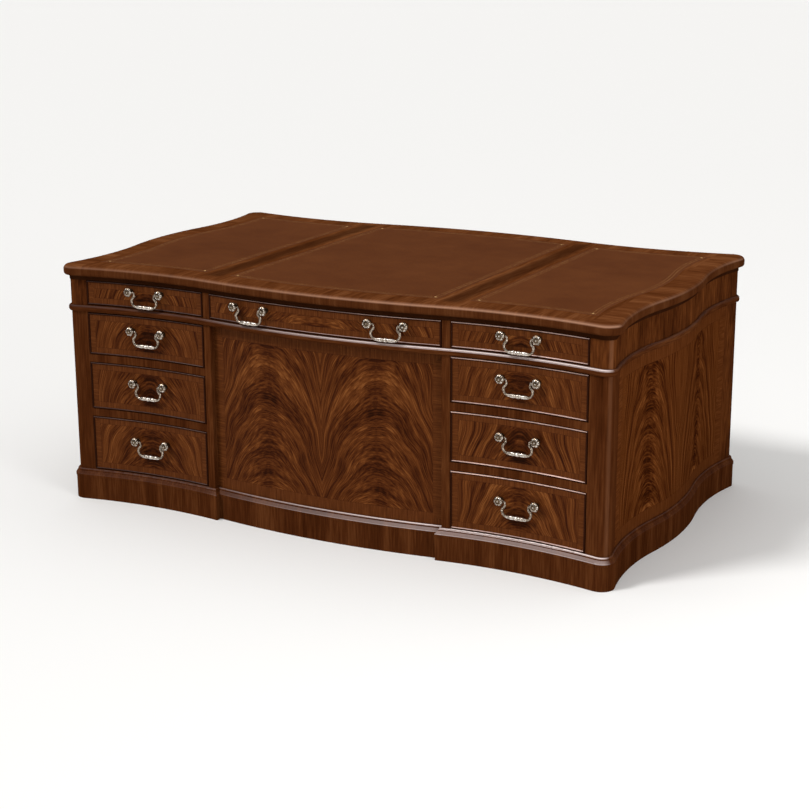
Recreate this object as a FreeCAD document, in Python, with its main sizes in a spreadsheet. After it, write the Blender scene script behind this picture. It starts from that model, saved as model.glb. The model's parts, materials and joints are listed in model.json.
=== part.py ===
import FreeCAD
import Part
import Sketcher
import math
import os
import re
from FreeCAD import Placement, Rotation, Vector

# A serpentine pedestal desk in mahogany. Millimetres; X runs along the desk, -Y is the drawer face,
# Z is up and the origin lies on the floor under the middle of the desk.

SIZES = {
    # The plan of the carcass. Each face is a convex arc between two hollows, all tangent, and a hollow lies
    # at a share of the way from the middle of its face.
    "front_half": 573.5,
    "front_convex_radius": 2495,
    "front_concave_radius": 1450,
    "front_hollow_share": 0.6413,
    "side_half": 945,
    "side_convex_radius": 995,
    "side_concave_radius": 823,
    "side_hollow_share": 0.5876,
    "corner_radius": 25,
    "wall": 20,
    "wall_corner_radius": 6,
    # The stack of levels from the floor up.
    "foot_gap": 10,
    "plinth_height": 101,
    "lower_opening": 182,
    "middle_opening": 157,
    "upper_opening": 139,
    "rail_height": 24.75,
    "head_rail": 12,
    "frieze_board": 12,
    "frieze_opening": 81,
    "bed_height": 14,
    "top_thickness": 33.5,
    # Places along the drawer face.
    "knee_half": 403,
    "stile_width": 26,
    "divider_width": 25,
    "corner_width": 77,
    "post_depth": 108.5,
    # Boards inside the carcass.
    "inner_side": 18,
    "dust_board": 12,
    "bulkhead": 12,
    "bulkhead_gap": 26.6732,
    "guide_height": 20,
    "knee_recess": 20,
    "knee_panel": 18,
    # The top, its mouldings and its leather.
    "top_overhang": 20,
    "nose_radius": 15,
    "nose_under_radius": 10,
    "bed_projection": 2,
    "cove_radius": 6,
    "top_rim": 60,
    "leather_border": 84,
    "leather_thickness": 2,
    "leather_gap": 0.2,
    "leather_corner_radius": 5,
    "leather_band": 94,
    "leather_band_inside": 65,
    # Waist moulding and plinth.
    "waist_height": 21,
    "waist_projection": 9,
    "waist_radius": 8,
    "plinth_projection": 15,
    "plinth_step": 1,
    "plinth_moulding": 26,
    "plinth_slope": 10,
    "plinth_slope_depth": 7,
    "plinth_arris_radius": 4,
    "plinth_bead": 8,
    "plinth_bead_back": 7.5,
    "plinth_bead_radius": 5,
    # Drawers.
    "reveal": 2,
    "slide_gap": 0.3,
    "front_thickness": 20,
    "bead_width": 5,
    "bead_proud": 3,
    "bead_radius": 2.3,
    "box_depth": 480,
    "box_board": 12,
    "box_bottom": 6,
    "box_bottom_rise": 8,
    "box_drop": 14,
    # Pulls.
    "pull_span": 115,
    "pull_rise": 22,
    "frieze_pull_rise": 15,
    "centre_pull_share": 0.583,
    "seat_gap": 0.4,
    "flange_radius": 8,
    "flange_thickness": 2,
    "neck_radius": 5,
    "neck_length": 8,
    "boss_radius": 9.5,
    "rosette_radius": 14.5,
    "rosette_back": 18.5,
    "rosette_rim": 2.5,
    "post_length": 25.5,
    "pivot_out": 15,
    "pivot_gap": 0.05,
    "stud_radius": 2.5,
    "stud_gap": 0.2,
    "stud_end": 7,
    "nut_radius": 5.8,
    "nut_thickness": 4,
    "nut_gap": 0.6,
    "bail_radius": 2.9,
    "bail_drop": 45,
    "bail_leg_in": 19,
    "bail_leg": 6,
    "bail_hook_radius": 4,
    "bail_neck_radius": 14,
    "bail_corner_radius": 15,
    "bail_pin_end": 3,
    "bail_bead_radius": 6,
    "bail_bead_half": 6.5,
    "bail_collar_radius": 4.2,
    "bail_leaf_end": 32,
    "bail_leaf_curve": 50,
}

# Levels and places that several pieces share, as formulas of the sizes.
MIDDLE_LOW = "plinth_height + lower_opening + rail_height"
UPPER_LOW = f"{MIDDLE_LOW} + middle_opening + rail_height"
UPPER_HIGH = f"{UPPER_LOW} + upper_opening"
PEDESTAL_TOP = f"{UPPER_HIGH} + head_rail"
FRIEZE_LOW = f"{PEDESTAL_TOP} + frieze_board"
FRIEZE_TOP = f"{FRIEZE_LOW} + frieze_opening"
SLAB_LOW = f"{FRIEZE_TOP} + bed_height"
DESK_TOP = f"{SLAB_LOW} + top_thickness"
OPENING_START = "knee_half + stile_width"
OPENING_END = "side_half - corner_width"
CENTRE_OPENING = f"({OPENING_START} - divider_width)"
END_PANEL_HALF = "(front_half - post_depth)"
PANEL_INSIDE = "knee_half + inner_side"
BEYOND = "front_half + side_half"
FRONT_HOLLOW = "(front_hollow_share * side_half)"
SIDE_HOLLOW = "(side_hollow_share * front_half)"
CONVEX_CENTRE = "(front_convex_radius - front_half)"
HOLLOW_CENTRE = (
    f"({CONVEX_CENTRE} - sqrt((front_convex_radius + front_concave_radius)^2 - {FRONT_HOLLOW}^2))"
)
HOLLOW_FACE = f"-{HOLLOW_CENTRE} - front_concave_radius"
CENTRE_OPENING_FACE = f"sqrt(front_convex_radius^2 - {CENTRE_OPENING}^2) - {CONVEX_CENTRE}"
BULKHEAD_FACE = f"(box_depth + bulkhead_gap + front_thickness - ({HOLLOW_FACE}))"
LEATHER_INSET = "top_overhang - leather_border"
CENTRE_LEATHER_HALF = f"{OPENING_START} - leather_band_inside"
SIDE_LEATHER_START = f"{CENTRE_LEATHER_HALF} + leather_band"

doc = FreeCAD.newDocument("PedestalDesk")
sheet = doc.addObject("Spreadsheet::Sheet", "Sizes")
for row, (alias, number) in enumerate(SIZES.items(), start=1):
    sheet.set(f"A{row}", alias)
    sheet.set(f"B{row}", str(number))
    sheet.setAlias(f"B{row}", alias)
doc.recompute()
parts = {}


def formula(text):
    """The text with each size pointed at its cell in the sheet."""
    return re.sub(r"[a-z_]\w*", lambda word: f"Sizes.{word[0]}" if word[0] in SIZES else word[0], text)


def value(text):
    return float(sheet.evalExpression(formula(text)))


def bind(obj, **formulas):
    for name, text in formulas.items():
        obj.setExpression(name, formula(text))
    return obj


def part(name, obj):
    """Counts an object as one of the desk's pieces."""
    obj.Label = name
    parts[name] = obj
    return obj


# Straight boards and the booleans that trim them

def board(name, x, y, z):
    """A straight board between two places along each axis."""
    box = doc.addObject("Part::Box", name)
    for axis, length, (low, high) in zip("xyz", ("Length", "Width", "Height"), (x, y, z)):
        box.setExpression(length, formula(f"({high}) - ({low})"))
        box.setExpression(f"Placement.Base.{axis}", formula(low))
    return box


def boolean(kind, name, base, tool):
    obj = doc.addObject(f"Part::{kind}", name)
    obj.Base = base
    obj.Tool = tool
    return obj


def trimmed(name, block, x, y, z):
    """The stretch of a block that lies inside a straight board's space."""
    return boolean("Common", name, block, board(f"{name}_space", x, y, z))


def group(name, pieces):
    compound = doc.addObject("Part::Compound", name)
    compound.Links = pieces
    return compound


def mirrored(name, source):
    """The left-hand twin of a right-hand piece."""
    twin = doc.addObject("Part::Mirroring", name)
    twin.Source = source
    twin.Normal = Vector(1, 0, 0)
    return twin


def both_sides(name, obj):
    part(f"right_{name}", obj)
    part(f"left_{name}", mirrored(f"left_{name}", obj))


# Sketches

def origin_plane(body, role):
    return next(feature for feature in body.Origin.OriginFeatures if feature.Role == role)


def body_sketch(body, name, plane="XY_Plane", lift="0"):
    """A sketch on one of the body's origin planes, lifted along that plane's normal."""
    sketch = body.newObject("Sketcher::SketchObject", name)
    sketch.AttachmentSupport = (origin_plane(body, plane), [""])
    sketch.MapMode = "FlatFace"
    sketch.setExpression("AttachmentOffset.Base.z", formula(lift))
    return sketch


def dimension(sketch, kind, geometry, point, text):
    """A driving dimension: a radius, or one coordinate of a point, bound to its formula."""
    where = (geometry,) if kind == "Radius" else (geometry, point)
    index = sketch.addConstraint(Sketcher.Constraint(kind, *where, value(text)))
    sketch.setExpression(f"Constraints[{index}]", formula(text))


START, END, CENTRE = 1, 2, 3


def add_arc(sketch, centre, start, end, anticlockwise):
    """An arc from start to end. Returns its number, and which of its points come first and last."""
    first, last = (start, end) if anticlockwise else (end, start)
    low = math.atan2(first.y - centre.y, first.x - centre.x)
    high = math.atan2(last.y - centre.y, last.x - centre.x)
    circle = Part.Circle(centre, Vector(0, 0, 1), (start - centre).Length)
    number = sketch.addGeometry(Part.ArcOfCircle(circle, low, high + 2 * math.pi * (high < low)))
    return (number, START, END) if anticlockwise else (number, END, START)


def add_line(sketch, start, end):
    return sketch.addGeometry(Part.LineSegment(start, end)), START, END


def join(sketch, segments, kinds):
    """Joins each segment's end to the next one's start, Coincident or Tangent."""
    constraints = []
    for (one, _, leave), (other, enter, _), kind in zip(segments, segments[1:] + segments[:1], kinds):
        constraints.append(Sketcher.Constraint(kind, one, leave, other, enter))
    sketch.addConstraint(constraints)


def profile(sketch, points):
    """A closed outline. Each point is its two coordinates and, where an arc follows it, that arc's radius,
    negative for a hollow one."""
    places = [Vector(value(p[0]), value(p[1]), 0) for p in points]
    segments = []
    for point, start, end in zip(points, places, places[1:] + places[:1]):
        if len(point) == 2:
            segments.append(add_line(sketch, start, end))
            continue
        radius = value(point[2])
        chord = end - start
        across = Vector(-chord.y, chord.x, 0).normalize()
        rise = math.sqrt(radius**2 - (chord.Length / 2) ** 2)
        centre = (start + end) / 2 + across * math.copysign(rise, radius)
        segments.append(add_arc(sketch, centre, start, end, radius > 0))
    join(sketch, segments, ["Coincident"] * len(points))
    for point, (number, enter, _) in zip(points, segments):
        dimension(sketch, "DistanceX", number, enter, point[0])
        dimension(sketch, "DistanceY", number, enter, point[1])
        if len(point) == 3:
            dimension(sketch, "Radius", number, None, f"abs({point[2]})")


def circle(sketch, x, y, radius):
    number = sketch.addGeometry(Part.Circle(Vector(value(x), value(y), 0), Vector(0, 0, 1), value(radius)))
    dimension(sketch, "DistanceX", number, CENTRE, x)
    dimension(sketch, "DistanceY", number, CENTRE, y)
    dimension(sketch, "Radius", number, None, radius)


def circles_meet(one, one_radius, other, other_radius):
    """Where two circles cross, on the right-hand side of the way from the first centre to the other."""
    way = other - one
    along = (way.Length**2 + one_radius**2 - other_radius**2) / (2 * way.Length)
    aside = math.sqrt(one_radius**2 - along**2)
    way.normalize()
    return one + way * along + Vector(way.y, -way.x, 0) * aside


def reflected(arcs, x, y):
    """The plan's arcs mirrored in one axis or both, still in the order that runs anticlockwise."""
    def flip(point):
        return Vector(point.x * x, point.y * y, 0)

    twins = []
    for centre, start, end, anticlockwise, radius, centre_x, centre_y in arcs:
        ends = (flip(start), flip(end)) if x == y else (flip(end), flip(start))
        twins.append((flip(centre), *ends, anticlockwise, radius,
                      centre_x and f"{x} * ({centre_x})", centre_y and f"{y} * ({centre_y})"))
    return twins if x == y else twins[::-1]


def serpentine(sketch, offset, corner, inner=None):
    """The desk's plan, set out or in from the carcass face by an offset, with its corners rounded.
    With inner, only what lies to the right of that place, closed by a straight line there."""
    bow = f"front_convex_radius + ({offset})"
    dip = f"front_concave_radius - ({offset})"
    side_bow = f"side_convex_radius + ({offset})"
    side_dip = f"side_concave_radius - ({offset})"
    side_centre = "side_half - side_convex_radius"
    side_reach = "side_convex_radius + side_concave_radius"
    front = Vector(0, value(CONVEX_CENTRE), 0)
    hollow = Vector(value(FRONT_HOLLOW), value(HOLLOW_CENTRE), 0)
    side = Vector(value(side_centre), 0, 0)
    side_out = value(f"sqrt(({side_reach})^2 - {SIDE_HOLLOW}^2)")
    side_hollow = Vector(side.x + side_out, -value(SIDE_HOLLOW), 0)
    round_centre = circles_meet(side_hollow, value(f"{side_dip} + {corner}"),
                                hollow, value(f"{dip} + {corner}"))

    def towards(centre, other, distance):
        return centre + (other - centre).normalize() * value(distance)

    turn = towards(front, hollow, bow)
    side_turn = towards(side, side_hollow, side_bow)
    leave = towards(hollow, round_centre, dip)
    arrive = towards(side_hollow, round_centre, side_dip)
    # Each arc: its centre, its two ends, its way round, its radius, and the centre coordinates that are set.
    front_arc = (front, Vector(-turn.x, turn.y, 0), turn, True, bow, "0", CONVEX_CENTRE)
    side_arc = (side, side_turn, Vector(side_turn.x, -side_turn.y, 0), True, side_bow, side_centre, "0")
    quarter = [
        (hollow, turn, leave, False, dip, FRONT_HOLLOW, None),
        (round_centre, leave, arrive, True, corner, None, None),
        (side_hollow, arrive, side_turn, False, side_dip, None, f"-{SIDE_HOLLOW}"),
    ]
    if inner is None:
        arcs = [front_arc, *quarter, side_arc, *reflected(quarter, 1, -1)]
        arcs += reflected(arcs, -1, -1)
    else:
        x = value(inner)
        if x < turn.x:
            begin = Vector(x, front.y - math.sqrt(value(bow) ** 2 - x**2), 0)
            quarter.insert(0, (front, begin, *front_arc[2:]))
        else:
            begin = Vector(x, hollow.y + math.sqrt(value(dip) ** 2 - (x - hollow.x) ** 2), 0)
            quarter[0] = (hollow, begin, *quarter[0][2:-1], HOLLOW_CENTRE)
        arcs = [*quarter, side_arc, *reflected(quarter, 1, -1)]
    segments = [add_arc(sketch, *arc[:4]) for arc in arcs]
    kinds = ["Tangent"] * len(arcs)
    if inner is not None:
        segments.append(add_line(sketch, Vector(begin.x, -begin.y, 0), begin))
        kinds[-1:] = ["Coincident", "Coincident"]
    join(sketch, segments, kinds)
    if inner is not None:
        sketch.addConstraint(Sketcher.Constraint("Vertical", segments[-1][0]))
        dimension(sketch, "DistanceX", segments[-1][0], START, inner)
    for (number, _, _), (*_, radius, centre_x, centre_y) in zip(segments, arcs):
        dimension(sketch, "Radius", number, None, radius)
        if centre_x is not None:
            dimension(sketch, "DistanceX", number, CENTRE, centre_x)
        if centre_y is not None:
            dimension(sketch, "DistanceY", number, CENTRE, centre_y)


def serpentine_block(name, offset, corner, high):
    """The whole plan extruded from the floor, for boards to be trimmed by."""
    sketch = doc.addObject("Sketcher::SketchObject", f"{name}_plan")
    serpentine(sketch, offset, corner)
    block = doc.addObject("Part::Extrusion", name)
    block.Base = sketch
    block.DirMode = "Normal"
    block.Solid = True
    return bind(block, LengthFwd=high)


# PartDesign features

def new_body(name):
    return doc.addObject("PartDesign::Body", name)


def pad(body, name, sketch, length):
    feature = body.newObject("PartDesign::Pad", name)
    feature.Profile = sketch
    return bind(feature, Length=length)


def pocket(body, name, sketch, length, upwards=False):
    """A pocket that goes down from its sketch, or upwards from it."""
    feature = body.newObject("PartDesign::Pocket", name)
    feature.Profile = sketch
    feature.Reversed = upwards
    return bind(feature, Length=length)


def edges_at(feature, height, along=lambda edge: True):
    """Names of the level edges at a height, for a fillet or chamfer."""
    doc.recompute()
    names = []
    for number, edge in enumerate(feature.Shape.Edges, start=1):
        box = edge.BoundBox
        if box.ZLength < 1e-6 and abs(box.ZMin - value(height)) < 1e-6 and along(edge):
            names.append(f"Edge{number}")
    return names


def fillet(body, name, base, names, radius):
    feature = body.newObject("PartDesign::Fillet", name)
    feature.Base = (base, names)
    return bind(feature, Radius=radius)


# Blocks of the plan that the carcass boards are cut from

carcass = serpentine_block("carcass_block", "0", "corner_radius", FRIEZE_TOP)
core = serpentine_block("core_block", "-wall", "wall_corner_radius", FRIEZE_TOP)
ring = boolean("Cut", "carcass_ring", carcass, core)
bead_block = serpentine_block("bead_block", "bead_proud", "corner_radius", FRIEZE_TOP)
knee_block = serpentine_block("knee_block", "-knee_recess", "wall_corner_radius", PEDESTAL_TOP)
knee_core = serpentine_block("knee_core", "-knee_recess - knee_panel", "wall_corner_radius", PEDESTAL_TOP)

EVERYWHERE = (f"-({BEYOND})", BEYOND)
FRONT = (f"-({BEYOND})", "0")
BACK = ("0", BEYOND)
DRAWER_SPACE = (f"-({BEYOND})", BULKHEAD_FACE)
BULKHEAD = (BULKHEAD_FACE, f"{BULKHEAD_FACE} + bulkhead")
PEDESTAL_HEIGHT = ("foot_gap", PEDESTAL_TOP)
FRIEZE_HEIGHT = (FRIEZE_LOW, FRIEZE_TOP)
STILE = ("knee_half", OPENING_START)
OPENING = (OPENING_START, OPENING_END)
CORNER = (OPENING_END, BEYOND)


def desk_top():
    """The slab: a rounded nose over a coved bed moulding, with three shallow recesses for the leather."""
    body = new_body("desk_top")
    slab_plan = body_sketch(body, "slab_plan", lift=SLAB_LOW)
    serpentine(slab_plan, "top_overhang", "corner_radius + top_overhang")
    slab = pad(body, "slab", slab_plan, "top_thickness")
    nose = fillet(body, "nose", slab, edges_at(slab, DESK_TOP), "nose_radius")
    fillet(body, "nose_under", nose, edges_at(nose, SLAB_LOW), "nose_under_radius")
    bed_plan = body_sketch(body, "bed_plan", lift=FRIEZE_TOP)
    serpentine(bed_plan, "bed_projection", "corner_radius + bed_projection")
    bed = pad(body, "bed", bed_plan, "bed_height")

    def meets_bed(edge):
        faces = bed.Shape.ancestorsOfType(edge, Part.Face)
        return min(face.BoundBox.ZMin for face in faces) < value(f"{SLAB_LOW} - bed_height / 2")

    fillet(body, "cove", bed, edges_at(bed, SLAB_LOW, meets_bed), "cove_radius")
    hollow = body_sketch(body, "hollow_plan", lift=FRIEZE_TOP)
    serpentine(hollow, "-top_rim", "corner_radius")
    pocket(body, "hollow", hollow, "bed_height", upwards=True)
    for name, draw in (("centre", centre_leather), ("right", side_leather)):
        recess = body_sketch(body, f"{name}_recess_plan", lift=DESK_TOP)
        draw(recess, "0")
        feature = pocket(body, f"{name}_recess", recess, "leather_thickness")
    opposite = body.newObject("PartDesign::Mirrored", "left_recess")
    opposite.Originals = [feature]
    opposite.MirrorPlane = (origin_plane(body, "YZ_Plane"), [""])
    body.Tip = opposite
    return body


def centre_leather(sketch, gap):
    half = f"{CENTRE_LEATHER_HALF} - {gap}"
    radius = f"front_convex_radius + {LEATHER_INSET} - {gap}"
    edge = f"sqrt(({radius})^2 - ({half})^2) - {CONVEX_CENTRE}"
    profile(sketch, [
        (f"-({half})", f"-({edge})", radius),
        (half, f"-({edge})"),
        (half, edge, radius),
        (f"-({half})", edge),
    ])


def side_leather(sketch, gap):
    serpentine(sketch, f"{LEATHER_INSET} - {gap}", "leather_corner_radius", f"{SIDE_LEATHER_START} + {gap}")


def leather(name, draw):
    body = new_body(name)
    sketch = body_sketch(body, f"{name}_plan", lift=f"{DESK_TOP} - leather_thickness")
    draw(sketch, "leather_gap")
    pad(body, f"{name}_skin", sketch, "leather_thickness")
    return body


def waist_moulding():
    """A half-round that hides the joint between frieze and pedestals."""
    body = new_body("waist_moulding")
    low = f"{PEDESTAL_TOP} - waist_height / 2"
    outer = body_sketch(body, "waist_plan", lift=low)
    serpentine(outer, "waist_projection", "corner_radius + waist_projection")
    strip = pad(body, "waist_strip", outer, "waist_height")
    names = edges_at(strip, low) + edges_at(strip, f"{low} + waist_height")
    fillet(body, "waist_round", strip, names, "waist_radius")
    inside = body_sketch(body, "waist_inside", lift=f"{low} + waist_height")
    serpentine(inside, "0", "corner_radius")
    pocket(body, "waist_bore", inside, "waist_height")
    return body


BOARD_TOP = "plinth_height - plinth_moulding"
CAP_TOP = "(plinth_height - plinth_bead)"
PLINTH_FLAT = "(plinth_projection - plinth_step)"
PLINTH_CORNER = "corner_radius + plinth_projection"


def skirting(name, back):
    """A flat board with a moulding on top, all round the plan at the back offset, still solid inside.
    The moulding slopes back from a rounded arris to a bead."""
    body = new_body(name)
    lower = body_sketch(body, f"{name}_board_plan")
    serpentine(lower, f"{back} + {PLINTH_FLAT}", PLINTH_CORNER)
    pad(body, f"{name}_board", lower, BOARD_TOP)
    upper = body_sketch(body, f"{name}_cap_plan", lift=BOARD_TOP)
    serpentine(upper, f"{back} + plinth_projection", PLINTH_CORNER)
    cap = pad(body, f"{name}_cap", upper, "plinth_moulding - plinth_bead")
    slope = body.newObject("PartDesign::Chamfer", f"{name}_slope")
    slope.Base = (cap, edges_at(cap, CAP_TOP))
    slope.ChamferType = "Two distances"
    bind(slope, Size="plinth_slope", Size2="plinth_slope_depth")
    arris = edges_at(slope, f"{CAP_TOP} - plinth_slope")
    fillet(body, f"{name}_arris", slope, arris, "plinth_arris_radius")
    top = body_sketch(body, f"{name}_bead_plan", lift=CAP_TOP)
    serpentine(top, f"{back} + plinth_projection - plinth_bead_back", f"{PLINTH_CORNER} - plinth_bead_back")
    bead = pad(body, f"{name}_bead", top, "plinth_bead")
    fillet(body, f"{name}_bead_round", bead, edges_at(bead, "plinth_height"), "plinth_bead_radius")
    return body


def knee_return():
    """All that lies to the right of the straight skirting along the kneehole, with the same moulding."""
    sketch = doc.addObject("Sketcher::SketchObject", "knee_return_profile")
    sketch.Placement = Placement(Vector(), Rotation(Vector(1, 0, 0), 90))
    face = "knee_half - plinth_projection"
    bead = f"{face} + plinth_bead_back"
    shoulder = f"{CAP_TOP} - plinth_slope"
    run = "sqrt(plinth_slope^2 + plinth_slope_depth^2)"
    reach = f"plinth_arris_radius * ({run} - plinth_slope) / plinth_slope_depth"
    profile(sketch, [
        (f"knee_half - {PLINTH_FLAT}", "0"),
        (BEYOND, "0"),
        (BEYOND, "plinth_height"),
        (f"{bead} + plinth_bead_radius", "plinth_height", "plinth_bead_radius"),
        (bead, "plinth_height - plinth_bead_radius"),
        (bead, CAP_TOP),
        (f"{face} + plinth_slope_depth", CAP_TOP),
        (f"{face} + {reach} * plinth_slope_depth / {run}", f"{shoulder} + {reach} * plinth_slope / {run}",
         "plinth_arris_radius"),
        (face, f"{shoulder} - {reach}"),
        (face, BOARD_TOP),
        (f"knee_half - {PLINTH_FLAT}", BOARD_TOP),
    ])
    block = doc.addObject("Part::Extrusion", "knee_return")
    block.Base = sketch
    block.DirMode = "Normal"
    block.Solid = True
    block.Symmetric = True
    return bind(block, LengthFwd=f"2 * ({BEYOND})")


# Drawers and their pulls

def face_place(x):
    """Where the carcass face lies at a place along the drawer side."""
    hollow = value(FRONT_HOLLOW)
    turn = hollow * value("front_convex_radius / (front_convex_radius + front_concave_radius)")
    convex = value("front_convex_radius")
    if abs(x) < turn:
        return -(math.sqrt(convex**2 - x**2) - value(CONVEX_CENTRE))
    concave = value("front_concave_radius")
    return -(value(HOLLOW_FACE) + concave - math.sqrt(concave**2 - (abs(x) - hollow) ** 2))


def pull_placement(x, z):
    """The pull's own frame: its origin on the face between the posts, X along the pull."""
    half = value("pull_span") / 2
    one = Vector(x - half, face_place(x - half), z)
    other = Vector(x + half, face_place(x + half), z)
    turn = math.degrees(math.atan2(other.y - one.y, other.x - one.x))
    return Placement((one + other) / 2, Rotation(Vector(0, 0, 1), turn))


def post(name, stud_length):
    """A turned post: stud, flange, neck, pierced boss and a domed rosette, along -Y."""
    body = new_body(name)
    sketch = body_sketch(body, f"{name}_profile")
    rim = "rosette_back + rosette_rim"
    dome = f"(rosette_radius^2 + (post_length - {rim})^2) / (2 * (post_length - {rim}))"
    profile(sketch, [
        ("0", f"{stud_length}"),
        ("0", "-post_length", dome),
        ("rosette_radius", f"-({rim})"),
        ("rosette_radius", "-rosette_back"),
        ("boss_radius", "-rosette_back"),
        ("boss_radius", "-(seat_gap + flange_thickness + neck_length)"),
        ("neck_radius", "-(seat_gap + flange_thickness + neck_length / 2)"),
        ("neck_radius", "-(seat_gap + flange_thickness)"),
        ("flange_radius", "-(seat_gap + flange_thickness)"),
        ("flange_radius", "-seat_gap"),
        ("stud_radius", "-seat_gap"),
        ("stud_radius", f"{stud_length}"),
    ])
    turned = body.newObject("PartDesign::Revolution", f"{name}_turned")
    turned.Profile = sketch
    turned.ReferenceAxis = (sketch, ["V_Axis"])
    turned.Angle = 360
    pivot = body_sketch(body, f"{name}_pivot", "YZ_Plane")
    circle(pivot, "-pivot_out", "0", "bail_radius + pivot_gap")
    hole = body.newObject("PartDesign::Pocket", f"{name}_hole")
    hole.Profile = pivot
    hole.Midplane = True
    hole.Type = "ThroughAll"
    return body


def nut(name, back):
    """A six-sided nut on the stud, just behind the drawer front."""
    prism = doc.addObject("Part::Prism", f"{name}_prism")
    prism.Polygon = 6
    bind(prism, Circumradius="nut_radius", Height="nut_thickness")
    bore = bind(doc.addObject("Part::Cylinder", f"{name}_bore"), Radius="stud_radius + stud_gap / 2",
                Height="nut_thickness")
    ring_nut = boolean("Cut", name, prism, bore)
    ring_nut.Placement = Placement(Vector(0, back, 0), Rotation(Vector(1, 0, 0), -90))
    return ring_nut


def bail(name):
    """A swan-neck bail in the XZ plane of the pull: bar, corner, neck, leg and hook, then the pin."""
    body = new_body(name)
    path = body_sketch(body, f"{name}_path", "XZ_Plane")
    half, drop, leg = value("pull_span / 2"), value("bail_drop"), value("bail_leg")
    corner, neck, hook = value("bail_corner_radius"), value("bail_neck_radius"), value("bail_hook_radius")
    leg_x = half - value("bail_leg_in")
    lean = math.asin((drop - leg - corner) / (corner + neck))
    neck_end = Vector(leg_x, -leg, 0)
    swing = Vector(leg_x + neck * (1 - math.cos(lean)), -leg - neck * math.sin(lean), 0)
    bar_end = Vector(swing.x - corner * math.cos(lean), -drop, 0)
    corner_centre = Vector(bar_end.x, corner - drop, 0)
    hook_centre = Vector(leg_x + hook, -hook, 0)
    segments = [
        add_line(path, Vector(0, -drop, 0), bar_end),
        add_arc(path, corner_centre, bar_end, swing, True),
        add_arc(path, Vector(leg_x + neck, -leg, 0), swing, neck_end, False),
        add_line(path, neck_end, Vector(leg_x, -hook, 0)),
        add_arc(path, hook_centre, Vector(leg_x, -hook, 0), Vector(leg_x + hook, 0, 0), False),
        add_line(path, Vector(leg_x + hook, 0, 0), Vector(half - value("bail_pin_end"), 0, 0)),
    ]
    bar, bend, waist, upright, curl, pin = (segment[0] for segment in segments)
    for (one, _, leave), (other, enter, _) in zip(segments, segments[1:]):
        path.addConstraint(Sketcher.Constraint("Tangent", one, leave, other, enter))
    path.addConstraint([
        Sketcher.Constraint("Horizontal", bar),
        Sketcher.Constraint("Vertical", upright),
        Sketcher.Constraint("Horizontal", pin),
    ])
    dimension(path, "DistanceX", bar, START, "0")
    dimension(path, "DistanceY", bar, START, "-bail_drop")
    dimension(path, "Radius", bend, None, "bail_corner_radius")
    dimension(path, "Radius", waist, None, "bail_neck_radius")
    dimension(path, "DistanceX", upright, START, "pull_span / 2 - bail_leg_in")
    dimension(path, "DistanceY", upright, START, "-bail_leg")
    dimension(path, "Radius", curl, None, "bail_hook_radius")
    dimension(path, "DistanceX", pin, END, "pull_span / 2 - bail_pin_end")
    dimension(path, "DistanceY", pin, END, "0")
    section = body_sketch(body, f"{name}_section", "YZ_Plane")
    circle(section, "0", "-bail_drop", "bail_radius")
    doc.recompute()
    wire = body.newObject("PartDesign::AdditivePipe", f"{name}_wire")
    wire.Profile = section
    wire.Spine = (path, [f"Edge{number + 1}" for number in range(len(segments))])
    swell = body_sketch(body, f"{name}_swell", "XZ_Plane")
    swell.setExpression("AttachmentOffset.Base.y", formula("-bail_drop"))
    rise = "bail_bead_radius - bail_collar_radius"
    profile(swell, [
        ("0", "0"),
        ("bail_leaf_end", "0"),
        ("bail_leaf_end", "bail_radius", "bail_leaf_curve"),
        ("bail_bead_half", "bail_collar_radius", f"(bail_bead_half^2 + ({rise})^2) / (2 * ({rise}))"),
        ("0", "bail_bead_radius"),
    ])
    lumps = body.newObject("PartDesign::Revolution", f"{name}_lumps")
    lumps.Profile = swell
    lumps.ReferenceAxis = (swell, ["H_Axis"])
    lumps.Angle = 360
    whole = body.newObject("PartDesign::Mirrored", f"{name}_whole")
    whole.Originals = [wire, lumps]
    whole.MirrorPlane = (origin_plane(body, "YZ_Plane"), [""])
    body.Tip = whole
    return body


def pull(name, x, z, back):
    """Two posts with their nuts, the holes that they need in the front, and the bail between them."""
    place = pull_placement(x, z)
    inwards = place.Rotation.multVec(Vector(0, 1, 0))
    hardware, holes = [], []
    for side, way in (("one", -1), ("other", 1)):
        spot = place.multiply(Placement(Vector(way * value("pull_span") / 2, 0, 0), Rotation()))
        thickness = (back - spot.Base.y) / inwards.y
        turned = post(f"{name}_post_{side}", f"{thickness} + stud_end")
        turned.Placement = spot
        ring_nut = nut(f"{name}_nut_{side}", thickness + value("nut_gap"))
        ring_nut.Placement = spot.multiply(ring_nut.Placement)
        hardware += [turned, ring_nut]
        hole = bind(doc.addObject("Part::Cylinder", f"{name}_hole_{side}"), Radius="stud_radius + stud_gap",
                    Height=f"{thickness} + 2 * stud_end")
        mouth = Placement(Vector(0, -value("stud_end"), 0), Rotation(Vector(1, 0, 0), -90))
        hole.Placement = spot.multiply(mouth)
        holes.append(hole)
    swing = bail(f"{name}_bail_body")
    swing.Placement = place.multiply(Placement(Vector(0, -value("pivot_out"), 0), Rotation()))
    return hardware, holes, swing


def rounded_bead(name, ring):
    """A cock bead with its outer arrises, those that stand out from the carcass face, rounded."""
    doc.recompute()
    half_proud, radius = value("bead_proud / 2"), value("bead_radius")
    bead = doc.addObject("Part::Fillet", name)
    bead.Base = ring
    arrises = []
    for number, edge in enumerate(ring.Shape.Edges, start=1):
        middle = edge.valueAt((edge.FirstParameter + edge.LastParameter) / 2)
        if middle.y < face_place(middle.x) - half_proud:
            arrises.append((number, radius, radius))
    bead.Edges = arrises
    return bead


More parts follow.
